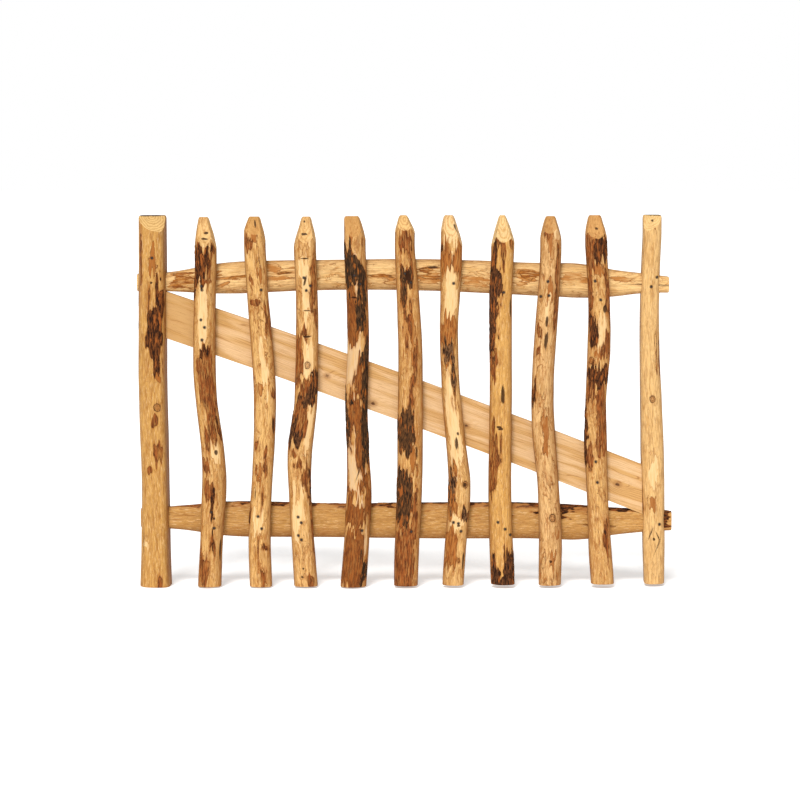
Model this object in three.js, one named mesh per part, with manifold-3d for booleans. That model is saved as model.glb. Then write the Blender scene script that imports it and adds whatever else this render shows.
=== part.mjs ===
// A rustic cleft-wood paling gate leaf: two half-round stiles, two rails whose hewn ends pass
// through the stiles, a sawn diagonal brace between them, and nine crooked pales nailed in front.
//
// Millimetres, +Z up, +X to the right as seen from the front, front towards -Y.
// The leaf is drawn from its own middle and foot line, and then moved so that the origin is
// the lower hinge seat, on the flat back of the hanging stile.

import * as THREE from "three";
import { mergeVertices } from "three/addons/utils/BufferGeometryUtils.js";
import Module from "manifold-3d";

const wasm = await Module();
wasm.setup();

// ---- Driving dimensions ----

const LEAF_HEIGHT = 800; // each stick ends within a few millimetres of it, and of the foot line
const PALE_PITCH = 105; // from one pale's line to the next
const PALE_DEPTH_SHARE = 0.68; // of a pale's girth, so that its cleft back lies flat on the rails
const RAIL_DEPTH = 30;
const BRACE_THICKNESS = 20;
const BRACE_WIDTH = 100; // at its foot
const BRACE_HEAD_WIDTH = 94;
const STILE_BACK = 38; // the stiles' flat backs, behind the plane where pales meet rails
const LOWER_SEAT_HEIGHT = 240; // of the hinge seat that holds the origin, above the foot line
const HINGE_LINE = 528; // right of the leaf's middle, where both hinge seats are
const TOUCH_GAP = 0.3; // between pieces that touch
const MORTISE_GAP = 0.6; // round a rail's end in its mortise

const SIDES = 16; // of a stick's section
const FRONT = -Math.PI / 2;
const BACK = Math.PI / 2;
const LEFT = Math.PI;
const RIGHT = 0;

// ---- Materials ----

const wood = (color, roughness) =>
  new THREE.MeshStandardMaterial({ color, roughness, metalness: 0 });
const peeledWood = wood(0xd2a05f, 0.75);
const barkyWood = wood(0xb5834b, 0.85);
const stileWood = wood(0xcb9c5e, 0.75);
const sawnWood = wood(0xe2bb82, 0.7);

// ---- Solids ----

const solidOf = (geometry) => {
  const bare = geometry.clone().deleteAttribute("normal").deleteAttribute("uv");
  const merged = mergeVertices(bare, 1e-3);
  return new wasm.Manifold(
    new wasm.Mesh({
      numProp: 3,
      vertProperties: merged.attributes.position.array,
      triVerts: new Uint32Array(merged.index.array),
    }),
  );
};

const geometryOf = (solid) => {
  const { vertProperties, triVerts } = solid.getMesh();
  const geometry = new THREE.BufferGeometry();
  geometry.setAttribute("position", new THREE.BufferAttribute(vertProperties, 3));
  geometry.setIndex(new THREE.BufferAttribute(triVerts, 1));
  return geometry;
};

// Everything on the far side of a plane, as one big block: an axe or saw cut takes it away.
const beyond = (point, normal) => {
  const size = 600;
  const turn = new THREE.Quaternion();
  turn.setFromUnitVectors(new THREE.Vector3(0, 0, 1), normal.clone().normalize());
  const block = new THREE.BoxGeometry(size, size, size).translate(0, 0, size / 2);
  return solidOf(block.applyQuaternion(turn).translate(...point));
};

// ---- Sticks ----

// The unit section of a stick, filling -1 to 1 both ways: front half and back half are
// superellipses (2 is round, more is squarer), and each flat is [direction, distance] from the pith.
const section = ({ front = 2, back = 2, flats = [] }) => {
  const ring = Array.from({ length: SIDES }, (_, i) => {
    const angle = (i / SIDES) * 2 * Math.PI;
    const [c, s] = [Math.cos(angle), Math.sin(angle)];
    const power = s < 0 ? front : back;
    let radius = (Math.abs(c) ** power + Math.abs(s) ** power) ** (-1 / power);
    for (const [direction, distance] of flats) {
      const facing = Math.cos(angle - direction);
      if (facing > 0) radius = Math.min(radius, distance / facing);
    }
    return new THREE.Vector2(radius * c, radius * s);
  });
  const box = new THREE.Box2().setFromPoints(ring);
  const middle = box.getCenter(new THREE.Vector2());
  const half = box.getSize(new THREE.Vector2()).divideScalar(2);
  return ring.map((point) => point.sub(middle).divide(half));
};

// A stick along +Z. Its stations are [height, sideways, width], joined by a smooth curve, and
// nearest and farthest are the faces of its section towards -Y and +Y at each width.
const stick = ({ stations, ring, rings, nearest, farthest, grow = 0 }) => {
  const course = new THREE.CatmullRomCurve3(
    stations.map(([height, sideways, width]) => new THREE.Vector3(sideways, width, height)),
    false,
    "centripetal",
  );
  const blank = new THREE.CylinderGeometry(1, 1, 1, SIDES, rings).rotateX(Math.PI / 2);
  const corners = blank.attributes.position;
  const at = new THREE.Vector3();
  for (let i = 0; i < corners.count; i++) {
    at.fromBufferAttribute(corners, i);
    const here = course.getPoint(THREE.MathUtils.clamp(at.z + 0.5, 0, 1));
    const [width, height] = [here.y, here.z];
    const [near, far] = [nearest(width) - grow, farthest(width) + grow];
    const side = Math.round((Math.atan2(at.y, at.x) / (2 * Math.PI)) * SIDES + SIDES) % SIDES;
    const onAxis = Math.hypot(at.x, at.y) < 0.5;
    const unit = onAxis ? new THREE.Vector2() : ring[side];
    const x = here.x + unit.x * (width / 2 + grow);
    const y = (near + far) / 2 + (unit.y * (far - near)) / 2;
    corners.setXYZ(i, x, y, height);
  }
  return blank;
};

const woodPiece = ({ name, solid, material }) => {
  const mesh = new THREE.Mesh(geometryOf(solid), material);
  mesh.name = name;
  return mesh;
};

// ---- Rails ----
// Each is a cleft pole along X: its stations are [along, height, tallness]. The ends are hewn
// down to tenons that pass right through the stiles.

const RAIL_SECTIONS = {
  flatFront: section({ front: 5, back: 2.4 }),
  hewnFront: section({ front: 3, back: 4, flats: [[FRONT, 0.9]] }),
};

const rails = [
  {
    name: "top_rail",
    ring: RAIL_SECTIONS.hewnFront,
    stations: [
      [-574, 655, 37],
      [-510, 656, 41],
      [-455, 659, 52],
      [-385, 664, 68],
      [-160, 671, 65],
      [60, 671, 69],
      [270, 662, 71],
      [385, 658, 74],
      [450, 653, 58],
      [510, 653, 43],
      [569, 650, 34],
    ],
  },
  {
    name: "bottom_rail",
    ring: RAIL_SECTIONS.flatFront,
    stations: [
      [-570, 145, 41],
      [-505, 145, 49],
      [-455, 144, 58],
      [-380, 142, 77],
      [-160, 139, 75],
      [60, 138, 80],
      [270, 138, 79],
      [385, 134, 76],
      [445, 136, 61],
      [510, 138, 50],
      [579, 138, 42],
    ],
  },
];

const railSolid = ({ ring, stations }, grow = 0) => {
  const ends = grow ? 60 : 0; // a mortise runs on past the rail's own ends
  const drawn = stations.map(([along, height, tall]) => [along, -height, tall]);
  drawn[0][0] -= ends;
  drawn[drawn.length - 1][0] += ends;
  const shape = { stations: drawn, ring, rings: 22, grow };
  return solidOf(
    stick({ ...shape, nearest: () => 0, farthest: () => RAIL_DEPTH }).rotateY(Math.PI / 2),
  );
};

// ---- Stiles ----
// Half-round posts, cleft face inwards and hewn flat at the back, with a bevelled head.

const stiles = [
  {
    name: "left_stile",
    front: -26,
    ring: section({ front: 2.8, back: 2.8, flats: [[RIGHT - 0.06, 0.62], [BACK, 0.8]] }),
    bevel: { drop: 31, depth: 34, lean: 8 },
    stations: [
      [-3, -538.5, 68],
      [70, -538.5, 63],
      [200, -537.5, 59],
      [330, -540, 61],
      [460, -542, 61],
      [620, -540, 61],
      [740, -540, 59],
      [LEAF_HEIGHT - 1, -540, 58],
    ],
  },
  {
    name: "right_stile",
    front: -12,
    ring: section({ front: 2.8, back: 2.8, flats: [[LEFT, 0.62], [BACK, 0.8]] }),
    bevel: { drop: 28, depth: 26, lean: -11 },
    stations: [
      [2, 543, 43],
      [100, 541.5, 47.5],
      [260, 538, 50],
      [400, 533.5, 46],
      [500, 529.5, 42],
      [620, 528.5, 40],
      [740, 532, 39.5],
      [LEAF_HEIGHT, 535, 40],
    ],
  },
];

const stileSolid = ({ ring, stations, front }, grow = 0) =>
  solidOf(
    stick({ stations, ring, rings: 16, grow, nearest: () => front, farthest: () => STILE_BACK }),
  );

// The bevelled head: one axe cut, down to the front and leaning a little to one side.
const bevelHead = (solid, { front, bevel, stations }) => {
  const slope = new THREE.Vector3(bevel.lean, -bevel.drop, bevel.depth);
  const [head, line] = stations[stations.length - 1];
  return solid.subtract(beyond([line, front, head - bevel.drop], slope));
};

// ---- Pales ----
// Drifts are sideways from the pale's own line; tips say where the axe cuts start and how far
// down each one runs: { from, to } are the blunt top's two edges.

const PALE_SECTIONS = {
  round: section({ front: 2.1, back: 5 }),
  hewnLeft: section({ front: 2.3, back: 5, flats: [[FRONT - 0.9, 0.86]] }),
  hewnRight: section({ front: 2.3, back: 5, flats: [[FRONT + 0.8, 0.86]] }),
};

const pales = [
  {
    ring: PALE_SECTIONS.hewnRight,
    tip: { from: -18, to: -2, left: 44, right: 66, front: 58 },
    stations: [
      [-1, -0.5, 51],
      [100, 4, 49],
      [220, 11, 53],
      [290, 8.5, 49.5],
      [390, -4, 46],
      [480, -9, 48.5],
      [640, -6, 46.5],
      [735, -4, 46],
      [LEAF_HEIGHT - 4, -4, 45],
    ],
  },
  {
    ring: PALE_SECTIONS.round,
    tip: { from: -15, to: 3, left: 34, right: 46, front: 38 },
    stations: [
      [-1, 5.5, 49],
      [100, 2.5, 49],
      [210, 7.5, 45],
      [330, 15, 46.5],
      [450, 15, 48.5],
      [600, 3, 46],
      [735, -4.5, 47],
      [LEAF_HEIGHT - 3, -6.5, 46],
    ],
  },
  {
    ring: PALE_SECTIONS.round,
    tip: { from: -6, to: 7, left: 62, right: 48, front: 52 },
    stations: [
      [0, -2, 51.5],
      [100, -9, 49],
      [200, -14.5, 48.5],
      [290, -15, 52.5],
      [390, -2, 50],
      [540, 2, 48.5],
      [640, 1, 47],
      [740, -3, 47],
      [LEAF_HEIGHT - 3, -3, 46],
    ],
  },
  {
    ring: PALE_SECTIONS.hewnRight,
    tip: { from: -26, to: 6, left: 20, right: 40, front: 44 },
    stations: [
      [-1, -5, 56],
      [90, 2, 54.5],
      [200, 8, 55],
      [285, 6, 47.5],
      [400, 2.5, 48.5],
      [530, 7, 46.5],
      [640, 4, 47],
      [LEAF_HEIGHT - 2, -4, 46],
    ],
  },
  {
    ring: PALE_SECTIONS.round,
    tip: { from: -8, to: 4, left: 36, right: 32, front: 30 },
    stations: [
      [1, 3.5, 51],
      [90, 6, 53.5],
      [215, 12, 54.5],
      [350, 13, 54.5],
      [500, 13.5, 52],
      [630, 8, 48.5],
      [735, 1, 42],
      [LEAF_HEIGHT, 0, 40],
    ],
  },
  {
    ring: PALE_SECTIONS.hewnLeft,
    tip: { from: -18, to: -2, left: 46, right: 56, front: 50 },
    stations: [
      [2, 0.5, 46],
      [100, 6.5, 46.5],
      [215, 15, 48],
      [300, 7, 43.5],
      [440, -5.5, 39.5],
      [560, -9.5, 39.5],
      [640, -6, 43.5],
      [735, -3.5, 47],
      [LEAF_HEIGHT, -6, 46],
    ],
  },
  {
    ring: PALE_SECTIONS.hewnLeft,
    tip: { from: -4, to: 4, left: 60, right: 56, front: 54 },
    stations: [
      [4, 3.5, 52],
      [100, -1, 51],
      [240, -4, 49.5],
      [400, -2.5, 48.5],
      [620, -3, 48],
      [735, 1, 50],
      [LEAF_HEIGHT, 2, 48],
    ],
  },
  {
    ring: PALE_SECTIONS.hewnRight,
    tip: { from: -10, to: 6, left: 46, right: 46, front: 36 },
    stations: [
      [2, -0.5, 48.5],
      [90, 1.5, 50.5],
      [210, -4, 46.5],
      [300, -12, 49],
      [400, -18, 49],
      [530, -13, 48],
      [640, -5, 46],
      [735, -1, 45],
      [LEAF_HEIGHT - 2, -1.5, 44],
    ],
  },
  {
    ring: PALE_SECTIONS.round,
    tip: { from: -23, to: -2, left: 40, right: 44, front: 46 },
    stations: [
      [5, 9, 49.5],
      [70, 4, 50],
      [190, -3, 46],
      [320, -8, 49],
      [410, -8, 45.5],
      [520, -2, 50],
      [620, -2, 46.5],
      [735, -10, 47],
      [LEAF_HEIGHT, -10.5, 46],
    ],
  },
];

const paleDepth = (width) => width * PALE_DEPTH_SHARE;

const paleSolid = ({ ring, stations, line }) =>
  solidOf(
    stick({
      stations: stations.map(([height, drift, width]) => [height, line + drift, width]),
      ring,
      rings: 18,
      nearest: (width) => -TOUCH_GAP - paleDepth(width),
      farthest: () => -TOUCH_GAP,
    }),
  );

// A blunt point: cuts at the left, right and front, each a little askew as an axe leaves it.
const hewTip = (solid, { stations, tip, line }) => {
  const [head, drift, width] = stations[stations.length - 1];
  const leftEdge = drift - width / 2;
  const rightEdge = drift + width / 2;
  const top = (x, y) => [line + x, y, head];
  const bluntDepth = paleDepth(width) * 0.4;
  const leftCut = new THREE.Vector3(-tip.left, -tip.left * 0.25, tip.from - leftEdge);
  const rightCut = new THREE.Vector3(tip.right, -tip.right * 0.25, rightEdge - tip.to);
  const frontCut = new THREE.Vector3(0, -tip.front, paleDepth(width) - bluntDepth);
  return solid
    .subtract(beyond(top(tip.from, -bluntDepth), leftCut))
    .subtract(beyond(top(tip.to, -bluntDepth), rightCut))
    .subtract(beyond(top(0, -bluntDepth), frontCut));
};

// ---- Brace ----
// A sawn board with a slight bow, scribed to the stiles and, at its foot, to the bottom rail.

const braceSolid = (neighbours) => {
  const [left, right] = [-540, 540];
  const [leftTop, rightTop] = [645, 251];
  const bow = 9; // of the board's edges, upwards at the middle
  const slope = Math.cos(Math.atan2(leftTop - rightTop, right - left));
  const leftFoot = leftTop - BRACE_HEAD_WIDTH / slope;
  const rightFoot = rightTop - BRACE_WIDTH / slope;
  const outline = new THREE.Shape()
    .moveTo(left, leftFoot)
    .quadraticCurveTo(0, (leftFoot + rightFoot) / 2 + 2 * bow, right, rightFoot)
    .lineTo(right, rightTop)
    .quadraticCurveTo(0, (leftTop + rightTop) / 2 + 2 * bow, left, leftTop);
  const board = new THREE.ExtrudeGeometry(outline, {
    depth: BRACE_THICKNESS,
    bevelEnabled: false,
    curveSegments: 8,
  });
  board.rotateX(Math.PI / 2).translate(0, BRACE_THICKNESS + TOUCH_GAP, 0);
  return neighbours.reduce((solid, other) => solid.subtract(other), solidOf(board));
};

// ---- The leaf ----

const leaf = new THREE.Group();

rails.forEach((rail) => {
  leaf.add(woodPiece({ name: rail.name, solid: railSolid(rail), material: peeledWood }));
});

stiles.forEach((stile) => {
  const mortised = rails.reduce(
    (solid, rail) => solid.subtract(railSolid(rail, MORTISE_GAP)),
    bevelHead(stileSolid(stile), stile),
  );
  leaf.add(woodPiece({ name: stile.name, solid: mortised, material: stileWood }));
});

const besideBrace = [
  ...stiles.map((stile) => stileSolid(stile, TOUCH_GAP)),
  ...rails.map((rail) => railSolid(rail, TOUCH_GAP)),
];
leaf.add(woodPiece({ name: "brace", solid: braceSolid(besideBrace), material: sawnWood }));

pales.forEach((pale, i) => {
  const line = (i - (pales.length - 1) / 2) * PALE_PITCH;
  const drawn = { ...pale, line };
  const solid = hewTip(paleSolid(drawn), drawn);
  const material = i % 2 ? barkyWood : peeledWood;
  leaf.add(woodPiece({ name: `pale_${i + 1}`, solid, material }));
});

leaf.position.set(-HINGE_LINE, -STILE_BACK, -LOWER_SEAT_HEIGHT);

const gate = new THREE.Group();
gate.add(leaf);

export default gate;
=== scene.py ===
from math import atan2, ceil, cos, hypot, pi, radians, sin

import bmesh
import bpy
import numpy as np
from mathutils import Matrix, Vector, noise
from mathutils.bvhtree import BVHTree


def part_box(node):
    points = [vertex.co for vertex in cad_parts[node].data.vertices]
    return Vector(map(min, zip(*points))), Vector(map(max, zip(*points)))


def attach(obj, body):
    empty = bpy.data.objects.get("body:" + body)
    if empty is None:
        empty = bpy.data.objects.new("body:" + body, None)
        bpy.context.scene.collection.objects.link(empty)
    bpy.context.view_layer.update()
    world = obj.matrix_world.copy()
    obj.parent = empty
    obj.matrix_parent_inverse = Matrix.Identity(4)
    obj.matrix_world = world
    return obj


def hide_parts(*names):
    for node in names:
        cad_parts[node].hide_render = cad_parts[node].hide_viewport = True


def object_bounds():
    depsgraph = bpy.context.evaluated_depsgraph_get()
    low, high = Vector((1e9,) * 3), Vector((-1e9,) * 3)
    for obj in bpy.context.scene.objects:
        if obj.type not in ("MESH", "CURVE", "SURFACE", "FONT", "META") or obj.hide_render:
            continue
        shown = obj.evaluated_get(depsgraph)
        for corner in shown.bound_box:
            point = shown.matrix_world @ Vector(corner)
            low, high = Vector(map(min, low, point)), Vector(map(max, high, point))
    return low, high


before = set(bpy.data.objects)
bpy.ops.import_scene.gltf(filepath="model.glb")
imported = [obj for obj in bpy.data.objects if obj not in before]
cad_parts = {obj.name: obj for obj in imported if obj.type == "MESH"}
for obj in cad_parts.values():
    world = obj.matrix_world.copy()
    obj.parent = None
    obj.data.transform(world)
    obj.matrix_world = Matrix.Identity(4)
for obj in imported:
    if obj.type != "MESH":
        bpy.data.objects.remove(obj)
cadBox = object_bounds()
mm = 0.001

stileDrop = 3 * mm  # how far the left stile runs below the leaf's foot line
boxToMiddle = 2.5 * mm  # half of what the right tenons are longer than the left ones
foot = cadBox[0].z + stileDrop
middle = (cadBox[0].x + cadBox[1].x) / 2 - boxToMiddle
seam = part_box("brace")[0].y  # where the pales' backs meet the rails and the brace
print("frame loaded:", len(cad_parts), "pieces of wood")


# Camera, floor and light

stageLook = {
    "distance": 6.0,  # metres from the middle of the leaf
    "elevation": 5.5,
    "widthSeen": 1.724,  # metres across the picture, at the leaf
    "aimAboveFoot": 0.402,
    "aimSideways": -0.009,
    "sensor": 36,
    "floorSize": 40,
    "floorGap": 0.0005,  # below the lowest foot
    "floorColour": (0.95, 0.95, 0.945),
    "floorGlow": 0.36,  # so that the shadow on the floor stays faint
    "skyStrength": 0.41,
    "sunStrength": 2.65,
    "sunElevation": 50,
    "sunFromLeft": 14,
    "sunSoftness": 18,
}


def makeCamera(look):
    target = Vector((middle + look["aimSideways"], seam, foot + look["aimAboveFoot"]))
    rise = radians(look["elevation"])
    data = bpy.data.cameras.new("camera")
    data.sensor_width = look["sensor"]
    data.lens = look["sensor"] * look["distance"] / look["widthSeen"]
    data.clip_end = 200
    camera = bpy.data.objects.new("camera", data)
    camera.location = target + Vector((0, -cos(rise), sin(rise))) * look["distance"]
    camera.rotation_euler = (pi / 2 - rise, 0, 0)
    bpy.context.scene.collection.objects.link(camera)
    bpy.context.scene.camera = camera


def makeFloor(look):
    bm = bmesh.new()
    bmesh.ops.create_grid(bm, x_segments=1, y_segments=1, size=look["floorSize"])
    bmesh.ops.translate(bm, verts=bm.verts, vec=(middle, 0, cadBox[0].z - look["floorGap"]))
    mesh = bpy.data.meshes.new("floor")
    bm.to_mesh(mesh)
    bm.free()
    floor = bpy.data.objects.new("floor", mesh)
    bpy.context.scene.collection.objects.link(floor)
    paint = bpy.data.materials.new("floor_paint")
    paint.use_nodes = True
    shader = paint.node_tree.nodes["Principled BSDF"]
    shader.inputs["Base Color"].default_value = (*look["floorColour"], 1)
    shader.inputs["Roughness"].default_value = 0.9
    shader.inputs["Specular IOR Level"].default_value = 0.1
    shader.inputs["Emission Color"].default_value = (1, 1, 1, 1)
    shader.inputs["Emission Strength"].default_value = look["floorGlow"]
    mesh.materials.append(paint)


def makeSun(look):
    data = bpy.data.lights.new("sun", "SUN")
    data.energy = look["sunStrength"]
    data.angle = radians(look["sunSoftness"])
    sun = bpy.data.objects.new("sun", data)
    sun.rotation_euler = (radians(90 - look["sunElevation"]), 0, -radians(look["sunFromLeft"]))
    bpy.context.scene.collection.objects.link(sun)


def makeWorld(look):
    # white where it is seen, softer where it lights the wood
    world = bpy.data.worlds.new("studio")
    world.use_nodes = True
    tree = world.node_tree
    sky = tree.nodes["Background"]
    sky.inputs["Strength"].default_value = look["skyStrength"]
    sky.inputs["Color"].default_value = (1, 1, 1, 1)
    white = tree.nodes.new("ShaderNodeBackground")
    white.inputs["Color"].default_value = (1, 1, 1, 1)
    path = tree.nodes.new("ShaderNodeLightPath")
    either = tree.nodes.new("ShaderNodeMixShader")
    tree.links.new(path.outputs["Is Camera Ray"], either.inputs[0])
    tree.links.new(sky.outputs[0], either.inputs[1])
    tree.links.new(white.outputs[0], either.inputs[2])
    tree.links.new(either.outputs[0], tree.nodes["World Output"].inputs["Surface"])
    bpy.context.scene.world = world


makeCamera(stageLook)
makeFloor(stageLook)
makeSun(stageLook)
makeWorld(stageLook)
bpy.context.scene.view_settings.view_transform = "Standard"
print("studio ready")


# Wood: every pole is re-skinned from its own frame node, finely enough to carry knots,
# hewn flats and the relief of the bark. Heights are mm above the foot (or mm to the right of
# the leaf's middle on a rail), turns are degrees round the pole from its front, to the right
# (or downwards on a rail).

poleLook = {
    "spacing": 3.0,  # mm between rings of the mesh
    "headSpacing": 2.0,
    "rim": (0, 0.4, 1.2, 2.4),  # rings at each sawn end, and how far each is worn back
    "rimWear": (1.2, 0.5, 0.12, 0),
    "tipRim": (0, 1.5, 3.5, 7),  # the same on an axed tip
    "tipWear": (2.6, 1.3, 0.45, 0),
    "facetBlur": 8.0,  # degrees
    "lengthBlur": 9.0,  # mm
    "barkRise": 1.0,
    "bastRise": 0.35,
    "scarDip": 0.35,
    "mortiseGap": 0.7,
    "barkSize": 12.0,  # the farthest a patch's field reaches outside it
    "deepestCut": 5,  # what the finish tells apart on an axed head
}

rayReach = 0.3  # metres, from a pole's middle to where its rays start

lyingDown = Matrix.Rotation(pi / 2, 4, "Y")


def frameSurface(node, turn):
    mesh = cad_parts[node].data
    back = turn.inverted()
    points = [back @ v.co for v in mesh.vertices]
    faces = [tuple(f.vertices) for f in mesh.polygons]
    return BVHTree.FromPolygons(points, faces), points, faces


def axeCuts(points, faces, headLength):
    # the sloping faces of an upright's head, as planes
    high = max(p.z for p in points)
    cuts = []
    for face in faces:
        a, b, c = (points[i] for i in face[:3])
        across = (b - a).cross(c - a)
        if across.length < 2e-6:
            continue
        normal = across.normalized()
        inHead = min(a.z, b.z, c.z) > high - headLength * mm
        if inHead and 0.12 < normal.z < 0.98:
            if all(normal.dot(known) < 0.9995 for _, known in cuts):
                cuts.append((a, normal))
    return cuts


def sectionCentre(tree, height, start):
    # the middle of the section there, by rays from the left, right, front and back
    x, y = start
    for _ in range(2):
        left = tree.ray_cast(Vector((x - rayReach, y, height)), Vector((1, 0, 0)))[0]
        right = tree.ray_cast(Vector((x + rayReach, y, height)), Vector((-1, 0, 0)))[0]
        if left and right:
            x = (left.x + right.x) / 2
        near = tree.ray_cast(Vector((x, y - rayReach, height)), Vector((0, 1, 0)))[0]
        behind = tree.ray_cast(Vector((x, y + rayReach, height)), Vector((0, -1, 0)))[0]
        if near and behind:
            y = (near.y + behind.y) / 2
    return x, y


def blurred(values, sigma, closed):
    # a soft average along the first axis
    reach = max(1, int(ceil(3 * sigma)))
    weights = np.exp(-0.5 * (np.arange(-reach, reach + 1) / sigma) ** 2)
    weights /= weights.sum()
    mode = "wrap" if closed else "edge"
    padding = [(reach, reach)] + [(0, 0)] * (values.ndim - 1)
    padded = np.pad(values, padding, mode=mode)
    return sum(w * padded[i : i + len(values)] for i, w in enumerate(weights))


def spreadOver(heights, known, values):
    # each column of values, read between the heights where it is known
    return np.stack([np.interp(heights, known, column) for column in values.T], axis=1)


def ringHeights(low, high, headLength):
    rim = np.array(poleLook["rim"]) * mm
    neck = high - headLength * mm
    body = np.linspace(low + rim[-1], neck, int((neck - low) / (poleLook["spacing"] * mm)))
    count = max(2, int(headLength / poleLook["headSpacing"]))
    head = np.linspace(neck, high - rim[-1], count + 1)
    return np.concatenate([low + rim[:-1], body, head[1:], high - rim[-2::-1]])


def grainNoise(grain, across, along, seed):
    scaled = grain / np.array((across, across, along)) + seed * 7.3
    return np.array([noise.noise(p) for p in scaled.tolist()])


def wrapped(degreesRound):
    return (degreesRound + 180) % 360 - 180


def smooth(value, low, high):
    t = np.clip((value - low) / (high - low), 0, 1)
    return t * t * (3 - 2 * t)


def patchField(patches, place, torn, splits):
    # about how many mm each point lies inside the nearest patch, with its sides torn and its
    # ends split along the grain
    turn, height, radius = place
    field = np.full(len(turn), -poleLook["barkSize"])
    for at, side, length, width, *lean in patches:
        along = (height + splits * min(1, length / 60) - at) / (length / 2)
        drift = sum(lean) / 100 * (height - at)
        around = (wrapped(turn - side) * np.pi / 180 * radius - drift) / (width / 2)
        reach = (np.abs(along) ** 2.8 + np.abs(around) ** 2.2) ** 0.4
        inside = (1 - reach) * width / 2 + torn * min(1, width / 16)
        field = np.maximum(field, inside)
    return field


def knotField(knots, place):
    # distance from the nearest knot's middle, as a share of its radius
    turn, height, radius = place
    field = np.full(len(turn), 9.0)
    for at, side, size in knots:
        around = wrapped(turn - side) * np.pi / 180 * radius
        away = np.hypot(around, (height - at) * 0.8) / size
        field = np.minimum(field, away)
    return field


def nailField(nails, place):
    # mm from the nearest nail
    turn, height, radius = place
    field = np.full(len(turn), 99.0)
    for at, sideways in nails:
        away = np.hypot(radius * np.sin(np.radians(turn)) - sideways, height - at)
        field = np.minimum(field, np.where(np.abs(turn) < 90, away, 99.0))
    return field


class Spine:
    # the pole's middle line, and what lies at each point round it

    def __init__(self, heights, centres, turn, zero, seed):
        self.heights, self.centres, self.turn = heights, centres, turn
        self.zero, self.seed = zero, seed

    def place(self, points):
        x = points[:, 0] - np.interp(points[:, 2], self.heights, self.centres[:, 0])
        y = points[:, 1] - np.interp(points[:, 2], self.heights, self.centres[:, 1])
        turn = np.degrees(np.arctan2(x, -y))
        height = (points[:, 2] - self.zero) / mm
        grain = np.stack([x / mm, y / mm, height + self.seed * 1000], axis=1)
        return (turn, height, np.hypot(x, y) / mm), grain


patchKinds = ("bark", "bast", "scar", "stain")


def fieldsOf(spec, place, grain):
    seed = spec["seed"]
    torn = 8.0 * grainNoise(grain, 9, 40, seed) + 3.4 * grainNoise(grain, 3, 11, seed + 1)
    splits = 36.0 * grainNoise(grain, 4.5, 70, seed + 8)
    fields = {kind: patchField(spec.get(kind, ()), place, torn, splits) for kind in patchKinds}
    fields["dark"] = patchField(spec.get("dark", ()), place, torn * 0.4, splits * 0.3)
    fields["knot"] = knotField(spec.get("knots", ()), place)
    fields["nail"] = nailField(spec.get("nails", ()), place)
    return fields


def reliefOf(spec, fields, grain):
    # mm outwards
    seed, lump = spec["seed"], spec.get("lump", 0.9)
    bark = smooth(fields["bark"], 0, 1.4)
    relief = lump * grainNoise(grain, 34, 90, seed + 2)
    relief += 0.3 * lump * grainNoise(grain, 11, 36, seed + 3)
    relief += 0.22 * grainNoise(grain, 2.4, 50, seed + 4)
    relief += bark * (poleLook["barkRise"] + 0.5 * grainNoise(grain, 3.6, 13, seed + 5))
    relief += poleLook["bastRise"] * smooth(fields["bast"], 0, 1) * (1 - bark)
    relief -= poleLook["scarDip"] * smooth(fields["scar"], -0.5, 1.5)
    relief -= 0.7 * smooth(fields["dark"], -0.5, 1) + 0.6 * np.clip(fields["dark"], 0, 4)
    knot = fields["knot"]
    relief += 1.5 * np.exp(-((knot / 1.5) ** 2)) - 1.7 * np.exp(-((knot / 0.55) ** 2))
    return relief


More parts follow.
